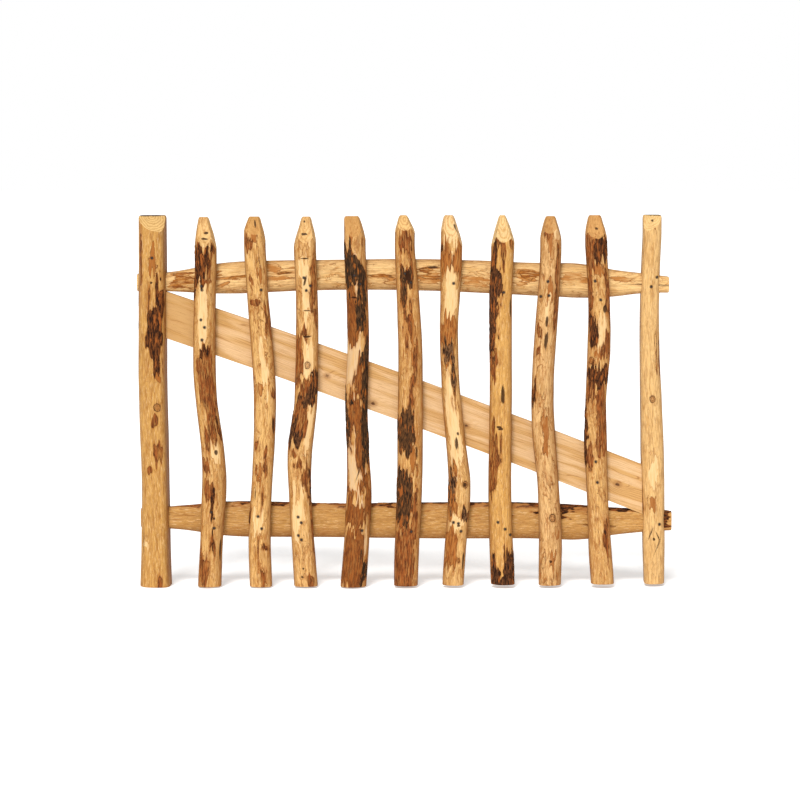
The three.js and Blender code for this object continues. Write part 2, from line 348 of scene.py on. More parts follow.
def makePole(node, spec):
    lying = spec.get("lying", False)
    turn = lyingDown if lying else Matrix.Identity(4)
    tree, points, faces = frameSurface(node, turn)
    low, high = min(p.z for p in points), max(p.z for p in points)
    headLength = spec.get("head", 4)
    heights = ringHeights(low, high, headLength)
    sides = spec["sides"]
    angles = np.arange(sides) * 2 * np.pi / sides
    ways = np.stack([np.sin(angles), -np.cos(angles)], axis=1)

    # the frame's sections, left out where a mortise or the head is cut
    blocked = [(high - headLength * mm, high + 1)] if "head" in spec else []
    blocked += [(a - 3 * mm, b + 3 * mm) for a, b in spec.get("mortises", ())]
    clean = [i for i, z in enumerate(heights) if not any(a <= z <= b for a, b in blocked)]
    start = tuple(sum(p[i] for p in points) / len(points) for i in (0, 1))
    centres, radii = [], []
    for i in clean:
        z = min(max(heights[i], low + 0.2 * mm), high - 0.2 * mm)
        start = sectionCentre(tree, z, start)
        centres.append(start)
        row = []
        for way in ways:
            origin = Vector((start[0] + way[0] * rayReach, start[1] + way[1] * rayReach, z))
            hit = tree.ray_cast(origin, Vector((-way[0], -way[1], 0)))[0]
            row.append(hypot(hit.x - start[0], hit.y - start[1]) if hit else np.nan)
        radii.append(row)
    centres, radii = np.array(centres), np.array(radii)
    gaps = np.isnan(radii)
    radii[gaps] = np.nanmean(radii)
    centres = spreadOver(heights, heights[clean], centres)
    radii = spreadOver(heights, heights[clean], radii)
    step = poleLook["spacing"]
    centres = blurred(centres, poleLook["lengthBlur"] / step, False)
    radii = blurred(radii, poleLook["lengthBlur"] / step, False)
    radii = blurred(radii.T, poleLook["facetBlur"] * sides / 360, True).T

    # a round blank with that many rings, its points moved out to the sections
    bm = bmesh.new()
    bmesh.ops.create_cone(bm, cap_ends=True, segments=sides, radius1=1, radius2=1, depth=1)
    uprightEdges = [e for e in bm.edges if abs(e.verts[0].co.z - e.verts[1].co.z) > 0.5]
    bmesh.ops.subdivide_edges(bm, edges=uprightEdges, cuts=len(heights) - 2)
    ring = np.array([round((v.co.z + 0.5) * (len(heights) - 1)) for v in bm.verts])
    side = np.array([round(atan2(v.co.x, -v.co.y) / (2 * pi) * sides) % sides for v in bm.verts])
    place = np.zeros((len(ring), 3))
    place[:, :2] = centres[ring] + radii[ring, side][:, None] * ways[side]
    place[:, 2] = heights[ring]

    spine = Spine(heights, centres, turn, middle if lying else foot, spec["seed"])
    where, grain = spine.place(place)
    fields = fieldsOf(spec, where, grain)
    relief = reliefOf(spec, fields, grain) * mm
    fromEnd = np.minimum(heights - low, high - heights)[ring] / mm
    relief -= np.interp(fromEnd, poleLook["rim"], poleLook["rimWear"]) * mm
    place[:, :2] += relief[:, None] * ways[side]

    # the head's axe cuts, each a little hollow
    cutDepth = np.zeros(len(ring))
    cuts = axeCuts(points, faces, headLength) if "head" in spec else []
    if cuts:
        start = tuple(centres[clean[-1]])
        inner = {}
        for i, z in enumerate(heights):
            if z > high - headLength * mm:
                start = sectionCentre(tree, min(z, high - 0.3 * mm), start)
                inner[i] = start
        chop = grainNoise(grain, 60, 17, spec["seed"] + 6) * 0.7 * mm
        for k, i in enumerate(ring):
            if i not in inner:
                continue
            point = Vector(place[k])
            centre = Vector((*inner[i], heights[i]))
            share = 1
            for on, normal in cuts:
                outside = normal.dot(point - on) + chop[k]
                inside = min(normal.dot(centre - on) + chop[k], -0.2 * mm)
                if outside > 0:
                    share = min(share, inside / (inside - outside))
            reach = (point - centre).length / mm
            wear = np.interp(fromEnd[k], poleLook["tipRim"], poleLook["tipWear"])
            cutDepth[k] = min((1 - share) * reach, poleLook["deepestCut"])
            share -= wear / reach
            place[k] = centre + (point - centre) * share

    box = [Vector(map(min, zip(*points))), Vector(map(max, zip(*points)))]
    place[:, 1] = np.clip(place[:, 1], box[0].y, box[1].y)
    place[:, 0] = np.clip(place[:, 0], box[0].x, box[1].x)
    cutLayer = bm.verts.layers.float.new("cut")
    for k, v in enumerate(bm.verts):
        v.co = place[k]
        v[cutLayer] = cutDepth[k]
    caps = [f for f in bm.faces if len(f.verts) > 4]
    bmesh.ops.inset_region(bm, faces=caps, thickness=0.7 * mm, depth=0, use_even_offset=False)
    for cap in [f for f in bm.faces if len(f.verts) > 4]:
        for v in cap.verts:
            v[cutLayer] = 9
    bmesh.ops.recalc_face_normals(bm, faces=bm.faces)
    mesh = bpy.data.meshes.new(node + "_wood")
    bm.to_mesh(mesh)
    bm.free()
    mesh.transform(turn)
    piece = bpy.data.objects.new(node + "_wood", mesh)
    bpy.context.scene.collection.objects.link(piece)
    return piece, spine


def cutMortises(piece, railNodes):
    # the rails' own shapes, a little fatter, taken out of the stile
    for node in railNodes:
        bm = bmesh.new()
        bm.from_mesh(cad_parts[node].data)
        bmesh.ops.remove_doubles(bm, verts=bm.verts, dist=0.00001)
        bm.normal_update()
        for v in bm.verts:
            v.co += v.normal * poleLook["mortiseGap"] * mm
        mesh = bpy.data.meshes.new("mortise")
        bm.to_mesh(mesh)
        bm.free()
        cutter = bpy.data.objects.new("mortise", mesh)
        bpy.context.scene.collection.objects.link(cutter)
        cut = piece.modifiers.new("mortise", "BOOLEAN")
        cut.object = cutter
        cut.operation = "DIFFERENCE"
        cut.solver = "EXACT"
        bpy.context.view_layer.update()
        evaluated = piece.evaluated_get(bpy.context.evaluated_depsgraph_get())
        finished = bpy.data.meshes.new_from_object(evaluated)
        piece.modifiers.clear()
        piece.data = finished
        bpy.data.objects.remove(cutter)


def paintFields(piece, spine, spec):
    # what the finish reads at each point
    mesh = piece.data
    points = np.zeros(len(mesh.vertices) * 3)
    mesh.vertices.foreach_get("co", points)
    back = np.array(spine.turn.inverted())[:3, :3]
    where, grain = spine.place(points.reshape(-1, 3) @ back.T)
    for name, values in fieldsOf(spec, where, grain).items():
        attribute = mesh.attributes.new(name, "FLOAT", "POINT")
        attribute.data.foreach_set("value", values)
    attribute = mesh.attributes.new("grain", "FLOAT_VECTOR", "POINT")
    attribute.data.foreach_set("vector", grain.ravel())
    mesh.polygons.foreach_set("use_smooth", np.ones(len(mesh.polygons), bool))
    mesh.set_sharp_from_angle(angle=radians(40))


# Finishes

def tone(red, green, blue):
    # screen colour, 0 to 255, to linear light
    shares = [c / 255 for c in (red, green, blue)]
    return (*[c / 12.92 if c <= 0.04045 else ((c + 0.055) / 1.055) ** 2.4 for c in shares], 1)


class Finish:
    # short words for the shader nodes that every finish is made of

    def __init__(self, name):
        self.material = bpy.data.materials.new(name)
        self.material.use_nodes = True
        self.tree = self.material.node_tree
        self.shader = self.tree.nodes["Principled BSDF"]

    def node(self, kind, inputs, **settings):
        made = self.tree.nodes.new("ShaderNode" + kind)
        for key, value in settings.items():
            setattr(made, key, value)
        for key, value in inputs.items():
            if isinstance(value, bpy.types.NodeSocket):
                self.tree.links.new(value, made.inputs[key])
            else:
                made.inputs[key].default_value = value
        return made

    def read(self, name, output="Fac"):
        return self.node("Attribute", {}, attribute_name=name).outputs[output]

    def calc(self, operation, a, b=0.0):
        return self.node("Math", {0: a, 1: b}, operation=operation).outputs[0]

    def step(self, value, low, high, most=1.0):
        inputs = {"Value": value, "From Min": low, "From Max": high, "To Max": most}
        return self.node("MapRange", inputs, interpolation_type="SMOOTHSTEP").outputs[0]

    def line(self, value, at, width, most=1.0):
        away = self.calc("ABSOLUTE", self.calc("SUBTRACT", value, at))
        return self.step(away, width, width * 0.2, most)

    def grain(self, vector, across, along, detail=3.0, rough=0.55, warp=0.0):
        size = (1 / across, 1 / across, 1 / along)
        scaled = self.node("VectorMath", {0: vector, 1: size}, operation="MULTIPLY").outputs[0]
        inputs = {"Vector": scaled, "Scale": 1.0, "Detail": detail, "Roughness": rough,
                  "Distortion": warp}
        return self.node("TexNoise", inputs).outputs["Fac"]

    def mix(self, share, a, b):
        made = self.node("Mix", {0: share, 6: a, 7: b}, data_type="RGBA", clamp_factor=True)
        return made.outputs[2]

    def send(self, socket, value):
        self.tree.links.new(value, self.shader.inputs[socket])

    def relief(self, height, strength, distance):
        inputs = {"Height": height, "Strength": strength, "Distance": distance}
        self.send("Normal", self.node("Bump", inputs).outputs[0])


plainWood = {
    "light": tone(216, 168, 102),
    "tan": tone(188, 136, 72),
    "brown": tone(140, 84, 34),
    "rust": tone(156, 88, 30),
    "cream": tone(236, 200, 146),
    "bastLight": tone(152, 84, 34),
    "bastDark": tone(88, 42, 12),
    "barkLight": tone(116, 64, 26),
    "barkDark": tone(38, 18, 6),
    "crack": tone(54, 27, 8),
    "ends": tone(86, 54, 28),
    "axed": tone(226, 180, 116),
    "lightShare": 0.5,  # how much of the wood is light
    "blots": 0.5,
    "veins": 0.6,
    "streaks": 0.45,
    "specks": 0.7,
    "rightShade": 0.3,
    "bastTan": 0.6,
}


def poleFinish(name, changes):
    look = {**plainWood, **changes}
    f = Finish(name)
    grain = f.read("grain", "Vector")
    torn = f.calc("SUBTRACT", f.grain(grain, 1.2, 3.2, 4, 0.6), 0.5)
    flat = f.node("VectorMath", {0: grain, 1: (1, 1, 0)}, operation="MULTIPLY").outputs[0]
    radius = f.node("VectorMath", {0: flat}, operation="LENGTH").outputs["Value"]
    frontness = f.calc("DIVIDE", f.node("SeparateXYZ", {0: grain}).outputs[1], radius)

    def field(kind):
        return f.calc("ADD", f.read(kind), f.calc("MULTIPLY", torn, 1.8))

    # clean wood: soft bands, paler in front as painted light, with fine fibres, streaks, blots and
    # dark specks
    split = 0.56 - 0.16 * look["lightShare"]
    bands = f.grain(grain, 11, 55, 4, 0.62, 0.5)
    # painted light: the bands lean to the light tone at the front of each pole, as if lit from the
    # front
    bands = f.calc("SUBTRACT", bands, f.calc("MULTIPLY", frontness, 0.07))
    colour = f.mix(f.step(bands, split - 0.08, split + 0.1), look["tan"], look["light"])
    fibres = f.grain(grain, 1.1, 26, 5, 0.65)
    colour = f.mix(f.step(fibres, 0.48, 0.66, 0.62), colour, look["brown"])
    glints = f.grain(grain, 1.8, 13, 4, 0.66)
    colour = f.mix(f.step(glints, 0.52, 0.66, 0.55), colour, look["cream"])
    streaks = f.grain(grain, 2.2, 34, 5, 0.64, 0.3)
    colour = f.mix(f.step(streaks, 0.53, 0.66, look["streaks"]), colour, look["rust"])
    blots = f.step(f.grain(grain, 6, 18, 6, 0.68, 0.4), 0.55, 0.63, look["blots"])
    colour = f.mix(blots, colour, look["rust"])
    specks = f.step(f.grain(grain, 1.6, 4.5, 3, 0.6), 0.64, 0.69, look["specks"])
    colour = f.mix(specks, colour, look["bastDark"])

    # stains with a dark shoreline, and the yearly rings where the surface cuts through them
    shore = f.grain(grain, 17, 46, 4, 0.55, 0.8)
    there = f.step(f.grain(grain, 26, 80, 2), 0.46, 0.56, look["veins"])
    wash = f.calc("MULTIPLY", f.step(shore, 0.5, 0.51), f.step(shore, 0.58, 0.515))
    colour = f.mix(f.calc("MULTIPLY", f.calc("MULTIPLY", wash, there), 0.7), colour, look["rust"])
    thin = f.calc("MULTIPLY", f.line(shore, 0.5, 0.011), there)
    colour = f.mix(thin, colour, look["bastDark"])
    stain = f.calc("ADD", field("stain"), f.calc("MULTIPLY", torn, 2.0))
    shade = f.calc("MULTIPLY", f.step(stain, -0.5, 0.5), f.step(bands, 0.42, 0.58))
    colour = f.mix(f.calc("MULTIPLY", shade, 0.85), colour, look["rust"])
    colour = f.mix(f.line(stain, 0.0, 0.7, 0.8), colour, look["bastDark"])
    sway = f.calc("MULTIPLY", f.grain(grain, 11, 60, 3, 0.5), 9.0)
    years = f.calc("FRACT", f.calc("MULTIPLY", f.calc("ADD", radius, sway), 0.42))
    colour = f.mix(f.line(years, 0.5, 0.25, 0.3), colour, look["brown"])
    # painted shade: the sides of each pole go brown, then near black, where the round surface turns
    # away from the front light; the back is left out
    sideShadeReach = f.calc("ADD", frontness, f.calc("MULTIPLY", bands, 0.5))
    facing = f.step(frontness, 0.65, 0.35)
    facing = f.calc("MULTIPLY", facing, f.calc("ADD", f.step(streaks, 0.56, 0.42, 0.6), 0.4))
    edges = f.calc("MULTIPLY", f.step(sideShadeReach, -0.32, 0.1, 0.75), facing)
    colour = f.mix(edges, colour, look["brown"])
    edges = f.calc("MULTIPLY", f.step(sideShadeReach, 0.04, 0.24, 0.5), facing)
    colour = f.mix(edges, colour, look["bastDark"])
    # painted shade: the right side of each pole darker brown, as if turned away from the sun on the
    # left
    sideways = f.calc("DIVIDE", f.node("SeparateXYZ", {0: grain}).outputs[0], radius)
    sideways = f.calc("ADD", sideways, f.calc("MULTIPLY", bands, 0.3))
    paintedRightShade = f.calc("MULTIPLY", f.step(sideways, 0.82, 0.98, look["rightShade"]), facing)
    colour = f.mix(paintedRightShade, colour, look["brown"])

    # peeled scars, the stain round a patch, inner bark and outer bark
    scar = f.step(field("scar"), -0.3, 0.7)
    scarColour = f.mix(f.step(streaks, 0.42, 0.7), look["cream"], look["light"])
    colour = f.mix(f.calc("MULTIPLY", scar, 0.85), colour, scarColour)
    colour = f.mix(f.line(field("scar"), 0, 0.7, 0.45), colour, look["rust"])
    bark, bast = field("bark"), field("bast")
    nearest = f.calc("MAXIMUM", bark, bast)
    colour = f.mix(f.step(nearest, -3.0, 0.2, 0.6), colour, look["rust"])
    bastGrain = f.grain(grain, 2.6, 20, 6, 0.7, 0.3)
    bastColour = f.mix(f.step(bastGrain, 0.4, 0.6), look["bastDark"], look["bastLight"])
    tanShare = f.step(f.grain(grain, 2.2, 24, 5, 0.65), 0.5, 0.62, look["bastTan"])
    bastColour = f.mix(tanShare, bastColour, look["tan"])
    colour = f.mix(f.step(bast, -0.6, 0.8), colour, bastColour)
    crust = f.grain(grain, 2.4, 13, 6, 0.7)
    barkColour = f.mix(f.step(crust, 0.43, 0.6), look["barkDark"], look["barkLight"])
    barkColour = f.mix(f.step(f.grain(grain, 5, 22, 4), 0.54, 0.64), barkColour, look["bastLight"])
    barkMask = f.step(bark, -0.2, 0.4)
    colour = f.mix(barkMask, colour, barkColour)
    colour = f.mix(f.line(nearest, 0.4, 0.8, 0.6), colour, look["crack"])

    # what the axe and the saw laid open
    cut = f.read("cut")
    arcs = f.calc("FRACT", f.calc("MULTIPLY", f.calc("ADD", radius, sway), 0.2))
    cutColour = f.mix(f.line(arcs, 0.5, 0.3, 0.6), look["axed"], look["tan"])
    cutColour = f.mix(f.step(fibres, 0.5, 0.72, 0.3), cutColour, look["brown"])
    cutColour = f.mix(blots, cutColour, look["rust"])
    cutColour = f.mix(specks, cutColour, look["brown"])
    colour = f.mix(f.step(cut, 0.1, 0.6, 0.8), colour, cutColour)
    endColour = f.mix(f.line(arcs, 0.5, 0.4, 0.7), look["ends"], look["brown"])
    pith = f.grain(grain, 2.4, 40, 5, 0.7)
    endColour = f.mix(f.step(pith, 0.46, 0.62, 0.6), endColour, look["tan"])
    colour = f.mix(f.step(cut, 7.5, 8.5), colour, endColour)

    # knots, cracks and the stain round each nail
    knot = f.read("knot")
    colour = f.mix(f.step(knot, 1.7, 0.7, 0.5), colour, look["rust"])
    ringed = f.calc("ADD", knot, f.calc("MULTIPLY", torn, 1.2))
    colour = f.mix(f.line(ringed, 0.95, 0.22, 0.9), colour, look["crack"])
    colour = f.mix(f.line(ringed, 0.5, 0.14, 0.7), colour, look["bastDark"])
    dark = f.step(field("dark"), -0.9, 0.5, 0.9)
    colour = f.mix(dark, colour, look["crack"])
    nearNail = f.calc("ADD", f.read("nail"), f.calc("MULTIPLY", torn, 4.0))
    colour = f.mix(f.step(nearNail, 5.0, 2.5, 0.8), colour, look["crack"])
    f.send("Base Color", colour)

    f.send("Roughness", f.calc("ADD", f.calc("MULTIPLY", barkMask, 0.22), 0.6))
    f.shader.inputs["Specular IOR Level"].default_value = 0.14
    height = f.calc("ADD", f.calc("MULTIPLY", streaks, 0.6), f.calc("MULTIPLY", fibres, 0.4))
    height = f.calc("ADD", height, f.calc("MULTIPLY", f.calc("MULTIPLY", crust, barkMask), 1.8))
    height = f.calc("SUBTRACT", height, f.calc("MULTIPLY", dark, 0.9))
    height = f.calc("SUBTRACT", height, f.calc("MULTIPLY", thin, 0.5))
    f.relief(height, 0.6, 1.0 * mm)
    return f.material


# The poles, one by one. Patches are (height, turn, length, width), and a fifth number leans
# them over, in mm for every 100 up. Knots are (height, turn, radius), and nails are (height,
# mm to the right of the pole's middle).

mortiseBands = []
for railName in ("top_rail", "bottom_rail"):
    low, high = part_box(railName)
    mortiseBands.append((low.z, high.z))

stile = {"slot": "cleft_stile", "sides": 112, "mortises": mortiseBands, "lump": 0.5}
rail = {"slot": "hewn_rail", "sides": 104, "lying": True, "lump": 0.5}
pale = {"slot": "peeled_pale", "sides": 88, "head": 68}

poles = {
    "left_stile": {
        **stile,
        "seed": 1,
        "head": 46,
        "bark": [(612, 34, 90, 20), (545, 14, 130, 34), (482, 24, 60, 20)],
        "bast": [(712, -48, 130, 7), (640, -75, 120, 9), (358, 10, 20, 12), (287, 20, 40, 14),
                 (249, -14, 14, 12), (8, 22, 30, 7), (600, -8, 60, 5)],
        "scar": [(738, -40, 26, 5), (90, -36, 15, 14)],
        "dark": [(801, 0, 7, 150), (96, -48, 46, 2), (290, 75, 25, 3), (656, 0, 5, 5),
                 (397, -80, 12, 4)],
        "stain": [(450, 30, 20, 12), (700, 5, 70, 12)],
        "knots": [(388, 20, 7)],
        "nails": [(709, 2)],
        "look": {
            "tan": tone(178, 128, 62),
            "light": tone(202, 152, 82),
            "axed": tone(234, 194, 128),
            "blots": 0.2,
            "streaks": 0.35,
            "specks": 0.4,
            "veins": 0.25,
            "rightShade": 0.85,
        },
    },
    "right_stile": {
        **stile,
        "seed": 2,
        "head": 44,
        "bast": [(498, 62, 72, 12), (179, -62, 60, 8), (560, -80, 60, 5)],
        "scar": [(250, 0, 70, 18)],
        "dark": [(802, 0, 7, 110), (146, -62, 14, 6), (101, -3, 7, 6), (112, -20, 24, 2, 40),
                 (108, 16, 20, 2, -50), (86, 16, 34, 1.6, 45), (788, -4, 5, 5)],
        "stain": [(510, 30, 60, 5), (180, -10, 26, 16), (780, -6, 22, 14)],
        "knots": [(405, 2, 6)],
        "nails": [(667, 12), (647, 0), (133, 11)],
        "look": {
            "tan": tone(212, 164, 100),
            "light": tone(228, 184, 120),
            "axed": tone(238, 200, 136),
            "blots": 0.15,
            "streaks": 0.3,
            "specks": 0.4,
            "veins": 0.3,
        },
    },
    "top_rail": {
        **rail,
        "seed": 3,
        "stain": [(-482, -30, 12, 10), (-460, 10, 40, 34), (-492, 40, 20, 12), (-405, -40, 26, 10),
                  (-375, 0, 70, 7, 6), (-392, 45, 40, 5, -30), (-270, -45, 60, 12),
                  (-262, 20, 56, 8), (-205, 30, 26, 16), (-48, 15, 50, 10), (-30, 50, 40, 5),
                  (55, -10, 52, 26),
                  (52, 35, 40, 18), (150, 25, 50, 20), (262, -30, 64, 24), (250, 35, 40, 12),
                  (360, -10, 50, 34), (470, -30, 40, 8)],
        "bast": [(-472, 0, 44, 40), (-350, -5, 56, 5), (-250, -28, 50, 5), (-40, 10, 44, 6),
                 (268, -30, 46, 14), (45, -20, 34, 16), (62, 14, 40, 8)],
        "dark": [(530, 5, 70, 1.4), (60, -50, 18, 3), (-232, -10, 4, 4)],
        "look": {
            "tan": tone(226, 180, 114),
            "light": tone(240, 198, 134),
            "rust": tone(180, 112, 44),
            "bastLight": tone(178, 112, 44),
            "bastDark": tone(124, 64, 20),
            "blots": 0.2,
            "veins": 0.75,
            "streaks": 0.25,
            "specks": 0.35,
        },
    },
    "bottom_rail": {
        **rail,
        "seed": 4,
        "bark": [(390, -88, 360, 26), (60, -90, 260, 22), (-290, -92, 240, 22), (560, -20, 24, 40)],
        "bast": [(-440, -80, 90, 12), (-100, -78, 90, 10), (550, 40, 40, 14), (300, -70, 200, 5)],
        "stain": [(420, 20, 60, 3, 10), (120, 10, 16, 12)],
        "look": {
            "tan": tone(190, 140, 74),
            "light": tone(202, 152, 86),
            "blots": 0.1,
            "streaks": 0.2,
            "specks": 0.5,
            "veins": 0.25,
        },
    },
    "pale_1": {
        **pale,
        "seed": 5,
        "bark": [(700, -38, 88, 40), (727, 65, 16, 12), (509, 5, 26, 22), (175, -5, 70, 7),
                 (100, 2, 62, 8), (645, -80, 50, 12), (345, 66, 50, 12)],
        "scar": [(588, -16, 136, 22), (290, 25, 50, 26), (762, 0, 50, 36)],
        "bast": [(452, 12, 116, 40), (392, 32, 130, 30), (657, 10, 8, 26), (316, -25, 46, 9),
                 (260, -45, 34, 24), (214, -35, 34, 16), (38, -42, 74, 26), (680, 30, 60, 12),
                 (80, 30, 30, 9)],
        "dark": [(292, 27, 10, 9), (149, 12, 6, 5), (762, 22, 5, 10), (750, -5, 4, 16),
                 (80, 74, 50, 4), (158, -2, 7, 6)],
        "nails": [(641, -6), (649, -7), (577, -7), (561, 1), (534, -4), (163, -3), (128, 5)],
        "look": {"light": tone(212, 164, 98), "blots": 0.6},
    },
    "pale_2": {
        **pale,
        "seed": 6,
        "bast": [(742, -42, 34, 12), (661, -35, 14, 13), (613, -20, 12, 22), (575, 68, 54, 14),
                 (416, 60, 16, 8), (289, 10, 20, 6), (307, -55, 16, 8), (259, 25, 30, 11),
                 (187, 12, 34, 4), (88, -8, 40, 3), (86, 45, 14, 10), (22, 25, 36, 12),
                 (352, 66, 40, 8)],
        "bark": [(149, -80, 30, 10)],
        "scar": [(140, -5, 46, 26), (480, 10, 120, 14)],
        "dark": [(350, 62, 25, 4), (201, -45, 25, 2), (782, 10, 14, 3)],
        "stain": [(700, 20, 60, 10), (770, -10, 40, 16), (430, -30, 30, 14), (240, -30, 40, 12)],
        "nails": [(641, 9), (153, -4), (127, 5)],
        "look": {"light": tone(222, 174, 106), "lightShare": 0.65, "streaks": 0.6, "veins": 0.9,
                 "axed": tone(204, 152, 86)},
    },
    "pale_3": {
        **pale,
        "seed": 7,
        "bark": [(436, 54, 54, 26), (405, 5, 30, 44), (335, -76, 56, 18), (318, -28, 28, 26),
                 (225, 78, 50, 10)],
        "scar": [(765, 42, 60, 14), (495, 10, 86, 28), (355, 42, 104, 20), (160, -35, 96, 16),
                 (180, 10, 60, 14), (640, -8, 140, 18)],
        "bast": [(485, -62, 104, 22), (430, -8, 40, 30), (357, -36, 98, 36), (291, -30, 15, 14),
                 (268, 0, 22, 16), (240, 42, 60, 12), (650, 58, 110, 12), (15, 40, 22, 18),
                 (120, 76, 90, 6), (552, -12, 26, 12)],
        "dark": [(708, 0, 3, 20), (597, 0, 3, 18), (541, 5, 4, 20), (40, -8, 5, 4),
                 (22, -20, 5, 5), (787, -25, 6, 6), (760, 0, 5, 12), (660, -8, 20, 4, 30)],
        "knots": [(480, 6, 6)],
        "nails": [(667, -4), (650, 9), (640, 0), (152, -6), (140, 0), (112, -8), (103, -2)],
        "look": {"light": tone(222, 174, 108), "veins": 0.7, "barkLight": tone(112, 70, 38)},
    },
    "pale_4": {
        **pale,
        "seed": 8,
        "bark": [(686, -58, 122, 28), (655, 46, 110, 24), (590, 26, 76, 26), (458, 64, 140, 22),
                 (337, 66, 172, 22), (362, -72, 122, 18), (32, 60, 78, 16)],
        "scar": [(680, -6, 96, 12), (490, -36, 122, 40), (357, -10, 112, 10), (268, -40, 96, 28),
                 (244, 10, 44, 36), (170, 5, 50, 18), (100, 62, 50, 7)],
        "bast": [(585, -44, 112, 38), (545, 70, 46, 16), (440, 22, 112, 20), (335, 26, 192, 22),
                 (365, -46, 112, 12), (268, -84, 190, 6), (172, -62, 84, 18), (188, 66, 90, 16),
                 (150, -5, 50, 36), (96, -20, 60, 50), (48, -20, 100, 62), (12, 30, 40, 30)],
        "dark": [(10, 58, 18, 4), (250, 2, 30, 2, 40), (625, -28, 4, 14)],
        "stain": [(222, 10, 60, 10, 30), (765, -30, 30, 12)],
        "nails": [(672, -4), (654, 8), (123, 10)],
        "look": {
            "barkLight": tone(88, 58, 32),
            "barkDark": tone(36, 24, 12),
            "bastLight": tone(146, 82, 30),
            "bastDark": tone(98, 48, 14),
            "bastTan": 0.25,
            "cream": tone(214, 180, 138),
            "axed": tone(200, 148, 84),
        },
    },
    "pale_5": {
        **pale,
        "seed": 9,
        "bark": [(672, 0, 38, 26), (634, -28, 52, 11), (341, -36, 102, 46), (188, -40, 144, 44)],
        "bast": [(744, -8, 56, 26), (602, 16, 38, 6), (572, 5, 44, 8), (527, -20, 30, 6),
                 (412, 3, 70, 12), (600, -32, 60, 9), (480, 40, 80, 8), (50, -20, 150, 60),
                 (150, 40, 120, 16), (700, 40, 60, 6)],
        "dark": [(672, 4, 20, 9), (292, 42, 22, 3), (665, 20, 8, 5)],
        "stain": [(270, 20, 60, 12), (540, 20, 120, 10)],
        "nails": [(676, -3), (657, 8), (121, 8)],
        "look": {
            "tan": tone(184, 130, 70),
            "light": tone(210, 160, 94),
            "streaks": 0.8,
            "blots": 0.5,
            "barkLight": tone(104, 66, 34),
            "barkDark": tone(44, 27, 12),
            "axed": tone(236, 192, 124),
        },
    },
    "pale_6": {
        **pale,
        "seed": 10,
        "bark": [(500, -8, 54, 30), (446, 22, 64, 12), (214, -66, 76, 20), (155, 44, 28, 20)],
        "bast": [(710, -52, 68, 30), (708, 58, 80, 22), (553, -16, 62, 46), (258, -28, 24, 9),
                 (176, -58, 52, 22), (84, -38, 92, 36), (60, 0, 24, 5), (420, 28, 50, 10)],
        "scar": [(640, 4, 176, 32), (396, -12, 120, 24), (318, -8, 150, 28), (140, -8, 34, 36),
                 (770, 0, 60, 40)],
        "dark": [(772, 60, 18, 4), (308, 5, 27, 7), (222, 40, 9, 8), (56, 62, 34, 4),
                 (730, -82, 14, 6), (332, 25, 6, 4), (133, 10, 6, 8)],
        "knots": [(222, 40, 6)],
        "nails": [(655, 6), (140, -9), (138, 2), (121, 9)],
        "look": {"light": tone(224, 178, 112), "barkLight": tone(132, 92, 58),
                 "bastLight": tone(174, 106, 46), "bastDark": tone(122, 64, 22),
                 "axed": tone(236, 196, 138)},
    },
    "pale_7": {
        **pale,
        "seed": 11,
        "bark": [(618, -66, 210, 28), (648, -38, 44, 26), (35, 52, 92, 34), (28, -58, 66, 26),
                 (5, 0, 26, 70)],
        "bast": [(754, -62, 36, 26), (754, 62, 32, 22), (726, 8, 46, 9), (512, -70, 120, 22),
                 (272, -58, 158, 26), (308, 3, 36, 4)],
        "scar": [(725, -55, 34, 5)],
        "dark": [(602, 66, 38, 4), (414, 14, 34, 7), (342, 0, 5, 14), (347, -18, 4, 14)],
        "nails": [(636, 5), (141, -6), (126, 9), (113, 20)],
        "look": {
            "tan": tone(200, 146, 74),
            "light": tone(216, 164, 90),
            "blots": 0.2,
            "veins": 0.2,
            "streaks": 0.3,
            "axed": tone(240, 204, 142),
            "barkLight": tone(106, 64, 34),
        },
    },
    "pale_8": {
        **pale,
        "seed": 12,
        "bark": [(420, -68, 46, 16)],
        "bast": [(555, -48, 22, 9), (700, 62, 90, 8), (770, -40, 26, 10), (508, -45, 16, 7),
                 (600, 64, 90, 7)],
        "scar": [(766, 52, 38, 16), (600, -4, 36, 13)],
        "dark": [(575, 0, 20, 5), (534, 2, 38, 8), (55, 0, 5, 5)],
        "stain": [(740, -10, 50, 12), (640, 10, 60, 10), (330, 10, 60, 12), (120, 45, 26, 16),
                  (60, 20, 40, 10)],
        "knots": [(150, 16, 7)],
        "nails": [(659, -4), (629, 0), (627, -17)],
        "look": {"tan": tone(188, 140, 82), "light": tone(222, 176, 116), "veins": 0.9,
                 "lightShare": 0.55, "blots": 0.5, "streaks": 0.65, "axed": tone(196, 142, 78)},
    },
    "pale_9": {
        **pale,
        "seed": 13,
        "bark": [(728, 34, 60, 46), (545, -52, 92, 22), (457, 0, 46, 66), (325, -80, 118, 14)],
        "bast": [(722, -56, 84, 30), (518, 50, 58, 20), (425, -46, 44, 16), (400, 32, 66, 22),
                 (352, 48, 118, 28), (284, -56, 44, 18), (110, 45, 90, 12), (630, 62, 90, 10),
                 (640, -66, 80, 12)],
        "scar": [(550, 12, 84, 22)],
        "dark": [(600, 38, 15, 9), (119, 40, 9, 6), (772, 0, 5, 5)],
        "stain": [(685, 0, 30, 20), (505, 0, 24, 24)],
        "knots": [(490, -48, 6)],
        "nails": [(660, -8), (620, 2), (272, -2), (227, 0)],
        "look": {"tan": tone(184, 132, 74), "barkLight": tone(110, 62, 28), "blots": 0.6,
                 "axed": tone(206, 152, 88)},
    },
}

# Nails: small wire-nail heads, driven to just above the wood

nailLook = {
    "radius": 2.4,
    "height": 1.1,  # of the head, of which a part is sunk
    "proud": 0.35,
    "sides": 14,
    "tilt": 7.0,  # degrees, at the most
    "underside": 0.8,  # as a share of the radius
    "softEdge": 0.4,
    "aimFrom": 0.2,  # metres in front of the pales' backs
    "seed": 4,  # of the tilts
    "steel": tone(44, 38, 34),
    "rust": tone(30, 19, 12),
}


